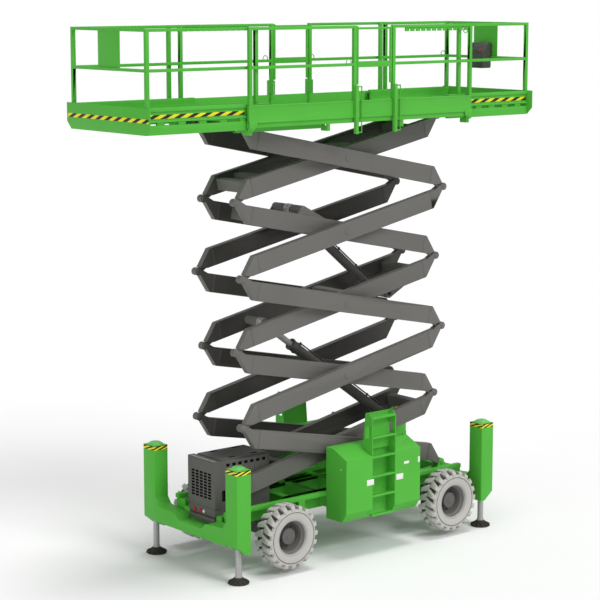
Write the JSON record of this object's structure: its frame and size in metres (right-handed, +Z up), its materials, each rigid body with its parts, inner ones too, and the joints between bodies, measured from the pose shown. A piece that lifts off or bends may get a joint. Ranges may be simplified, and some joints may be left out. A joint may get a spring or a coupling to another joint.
{
  "type": "scissor lift",
  "caption": "Rough-terrain scissor lift with outriggers, side modules with ladder, stacked scissor arms, lift cylinders and a platform with roll-out decks and gates.",
  "frame": {"origin": "on the ground under the middle of the platform with both roll-out decks out", "axes": "+X towards the fixed-axle end, -X the steering end; +Y across to the far side; +Z up"},
  "size_m": [6.848, 2.22, 7.405],
  "materials": {
    "green_paint": "gloss machine enamel",
    "dark_paint": "satin warm grey enamel",
    "chrome": "hard chrome",
    "tyre_grey": "non-marking light grey rubber",
    "rim_grey": "light grey enamel",
    "dark_plastic": "moulded"
  },
  "bodies": {
    "chassis": {"chassis_frame": "green_paint", "outrigger_frame_front": "green_paint", "outrigger_frame_rear": "green_paint", "side_module_near": "green_paint", "side_module_far": "green_paint", "power_unit": "dark_paint", "axle_front": "dark_paint", "axle_rear": "dark_paint"},
    "knuckle_near": {"knuckle_near": "dark_paint"},
    "knuckle_far": {"knuckle_far": "dark_paint"},
    "tie_rod": {"tie_rod": "dark_paint"},
    "wheel_front_near": {"tyre_front_near": "tyre_grey", "rim_front_near": "rim_grey"},
    "leg_front_near": {"leg_front_near": "chrome"},
    "wheel_front_far": {"tyre_front_far": "tyre_grey", "rim_front_far": "rim_grey"},
    "leg_front_far": {"leg_front_far": "chrome"},
    "wheel_rear_near": {"tyre_rear_near": "tyre_grey", "rim_rear_near": "rim_grey"},
    "leg_rear_near": {"leg_rear_near": "chrome"},
    "wheel_rear_far": {"tyre_rear_far": "tyre_grey", "rim_rear_far": "rim_grey"},
    "leg_rear_far": {"leg_rear_far": "chrome"},
    "arm_outer_1": {"arm_outer_1": "dark_paint"},
    "arm_inner_1": {"arm_inner_1": "dark_paint"},
    "arm_outer_2": {"arm_outer_2": "dark_paint"},
    "arm_inner_2": {"arm_inner_2": "dark_paint"},
    "arm_outer_3": {"arm_outer_3": "dark_paint"},
    "arm_inner_3": {"arm_inner_3": "dark_paint"},
    "arm_outer_4": {"arm_outer_4": "dark_paint"},
    "arm_inner_4": {"arm_inner_4": "dark_paint"},
    "arm_outer_5": {"arm_outer_5": "dark_paint"},
    "arm_inner_5": {"arm_inner_5": "dark_paint"},
    "cylinder_upper_barrel": {"cylinder_upper_barrel": "dark_paint"},
    "cylinder_upper_rod": {"cylinder_upper_rod": "chrome"},
    "cylinder_lower_barrel": {"cylinder_lower_barrel": "dark_paint"},
    "cylinder_lower_rod": {"cylinder_lower_rod": "chrome"},
    "platform": {"main_deck": "green_paint", "main_rails": "green_paint"},
    "ext_left": {"ext_deck_left": "green_paint", "ext_rails_left": "green_paint"},
    "ext_right": {"ext_deck_right": "green_paint", "ext_rails_right": "green_paint", "control_box": "dark_plastic"},
    "gate_near": {"gate_near": "green_paint"},
    "gate_far": {"gate_far": "green_paint"}
  },
  "joints": [
    {"name": "lift", "type": "hinge", "parent": "chassis", "child": "arm_outer_5", "pos_m": [2.037, 0, 0.97], "axis": [0, 1, 0], "range_deg": [-11.57, 35]},
    {"name": "arm_inner_5_centre", "type": "hinge", "parent": "arm_outer_5", "child": "arm_inner_5", "pos_m": [0.19261, 0, 1.48149], "axis": [0, 1, 0], "range_deg": [-70.1, 23.2]},
    {"name": "arm_outer_4_pin", "type": "hinge", "parent": "arm_outer_5", "child": "arm_outer_4", "pos_m": [-1.65178, 0, 1.99299], "axis": [0, 1, 0], "range_deg": [-70.1, 23.2]},
    {"name": "arm_inner_4_centre", "type": "hinge", "parent": "arm_outer_4", "child": "arm_inner_4", "pos_m": [0.19261, 0, 2.50448], "axis": [0, 1, 0], "range_deg": [-23.2, 70.1]},
    {"name": "arm_outer_3_pin", "type": "hinge", "parent": "arm_outer_4", "child": "arm_outer_3", "pos_m": [2.037, 0, 3.01598], "axis": [0, 1, 0], "range_deg": [-23.2, 70.1]},
    {"name": "arm_inner_3_centre", "type": "hinge", "parent": "arm_outer_3", "child": "arm_inner_3", "pos_m": [0.19261, 0, 3.52747], "axis": [0, 1, 0], "range_deg": [-70.1, 23.2]},
    {"name": "arm_outer_2_pin", "type": "hinge", "parent": "arm_outer_3", "child": "arm_outer_2", "pos_m": [-1.65178, 0, 4.03897], "axis": [0, 1, 0], "range_deg": [-70.1, 23.2]},
    {"name": "arm_inner_2_centre", "type": "hinge", "parent": "arm_outer_2", "child": "arm_inner_2", "pos_m": [0.19261, 0, 4.55046], "axis": [0, 1, 0], "range_deg": [-23.2, 70.1]},
    {"name": "arm_outer_1_pin", "type": "hinge", "parent": "arm_outer_2", "child": "arm_outer_1", "pos_m": [2.037, 0, 5.06195], "axis": [0, 1, 0], "range_deg": [-23.2, 70.1]},
    {"name": "arm_inner_1_centre", "type": "hinge", "parent": "arm_outer_1", "child": "arm_inner_1", "pos_m": [0.19261, 0, 5.57345], "axis": [0, 1, 0], "range_deg": [-70.1, 23.2]},
    {"name": "platform_pin", "type": "hinge", "parent": "arm_inner_1", "child": "platform", "pos_m": [2.037, 0, 6.08494], "axis": [0, 1, 0], "range_deg": [-11.6, 35.1]},
    {"name": "cylinder_upper_pivot", "type": "hinge", "parent": "arm_inner_3", "child": "cylinder_upper_barrel", "pos_m": [1.19962, 0, 3.53979], "axis": [0, 1, 0], "range_deg": [-23.2, 70.1]},
    {"name": "cylinder_upper_stroke", "type": "slide", "parent": "cylinder_upper_barrel", "child": "cylinder_upper_rod", "axis": [-0.7708, 0, 0.6371], "range_m": [-0.36, 1.09]},
    {"name": "cylinder_lower_pivot", "type": "hinge", "parent": "arm_inner_5", "child": "cylinder_lower_barrel", "pos_m": [1.45041, 0, 1.6299], "axis": [0, 1, 0], "range_deg": [-23.2, 70.1]},
    {"name": "cylinder_lower_stroke", "type": "slide", "parent": "cylinder_lower_barrel", "child": "cylinder_lower_rod", "axis": [-0.8136, 0, 0.5815], "range_m": [-0.53, 1.58]},
    {"name": "steer", "type": "hinge", "parent": "chassis", "child": "knuckle_near", "pos_m": [-1.234, -0.7, 0.512], "axis": [0, 0, 1], "range_deg": [-25, 25]},
    {"name": "steer_far", "type": "hinge", "parent": "chassis", "child": "knuckle_far", "pos_m": [-1.234, 0.7, 0.512], "axis": [0, 0, 1], "range_deg": [-25.1, 25.1]},
    {"name": "tie_rod_pin", "type": "hinge", "parent": "knuckle_near", "child": "tie_rod", "pos_m": [-1.014, -0.7, 0.44], "axis": [0, 0, 1], "range_deg": [-25.1, 25.1]},
    {"name": "wheel_front_near_spin", "type": "hinge", "parent": "knuckle_near", "child": "wheel_front_near", "pos_m": [-1.234, -0.95, 0.512], "axis": [0, 1, 0], "continuous": true},
    {"name": "wheel_front_far_spin", "type": "hinge", "parent": "knuckle_far", "child": "wheel_front_far", "pos_m": [-1.234, 0.95, 0.512], "axis": [0, 1, 0], "continuous": true},
    {"name": "wheel_rear_near_spin", "type": "hinge", "parent": "chassis", "child": "wheel_rear_near", "pos_m": [1.789, -0.95, 0.512], "axis": [0, 1, 0], "continuous": true},
    {"name": "wheel_rear_far_spin", "type": "hinge", "parent": "chassis", "child": "wheel_rear_far", "pos_m": [1.789, 0.95, 0.512], "axis": [0, 1, 0], "continuous": true},
    {"name": "leg_front_near_slide", "type": "slide", "parent": "chassis", "child": "leg_front_near", "axis": [0, 0, -1], "range_m": [-0.3, 0.25]},
    {"name": "leg_front_far_slide", "type": "slide", "parent": "chassis", "child": "leg_front_far", "axis": [0, 0, -1], "range_m": [-0.3, 0.25]},
    {"name": "leg_rear_near_slide", "type": "slide", "parent": "chassis", "child": "leg_rear_near", "axis": [0, 0, -1], "range_m": [-0.3, 0.25]},
    {"name": "leg_rear_far_slide", "type": "slide", "parent": "chassis", "child": "leg_rear_far", "axis": [0, 0, -1], "range_m": [-0.3, 0.25]},
    {"name": "deck_left_slide", "type": "slide", "parent": "platform", "child": "ext_left", "axis": [-1, 0, 0], "range_m": [-1.574, 0]},
    {"name": "deck_right_slide", "type": "slide", "parent": "platform", "child": "ext_right", "axis": [1, 0, 0], "range_m": [-1.2, 0]},
    {"name": "gate_near_hinge", "type": "hinge", "parent": "platform", "child": "gate_near", "pos_m": [0.052, -0.902, 6.62], "axis": [0, 0, 1], "range_deg": [0, 90]},
    {"name": "gate_far_hinge", "type": "hinge", "parent": "platform", "child": "gate_far", "pos_m": [0.052, 0.902, 6.62], "axis": [0, 0, -1], "range_deg": [0, 90]}
  ],
  "couplings": [
    {"joint": "arm_inner_5_centre", "follows": "lift", "ratio": -2},
    {"joint": "arm_outer_4_pin", "follows": "lift", "ratio": -2},
    {"joint": "arm_inner_4_centre", "follows": "lift", "ratio": 2},
    {"joint": "arm_outer_3_pin", "follows": "lift", "ratio": 2},
    {"joint": "arm_inner_3_centre", "follows": "lift", "ratio": -2},
    {"joint": "arm_outer_2_pin", "follows": "lift", "ratio": -2},
    {"joint": "arm_inner_2_centre", "follows": "lift", "ratio": 2},
    {"joint": "arm_outer_1_pin", "follows": "lift", "ratio": 2},
    {"joint": "arm_inner_1_centre", "follows": "lift", "ratio": -2},
    {"joint": "platform_pin", "follows": "lift", "ratio": 1},
    {"joint": "cylinder_upper_pivot", "follows": "lift", "ratio": 2},
    {"joint": "cylinder_upper_stroke", "follows": "lift", "m_per_rad": 1.776},
    {"joint": "cylinder_lower_pivot", "follows": "lift", "ratio": 2},
    {"joint": "cylinder_lower_stroke", "follows": "lift", "m_per_rad": 2.578},
    {"joint": "steer_far", "follows": "steer", "ratio": 1},
    {"joint": "tie_rod_pin", "follows": "steer", "ratio": -1}
  ]
}
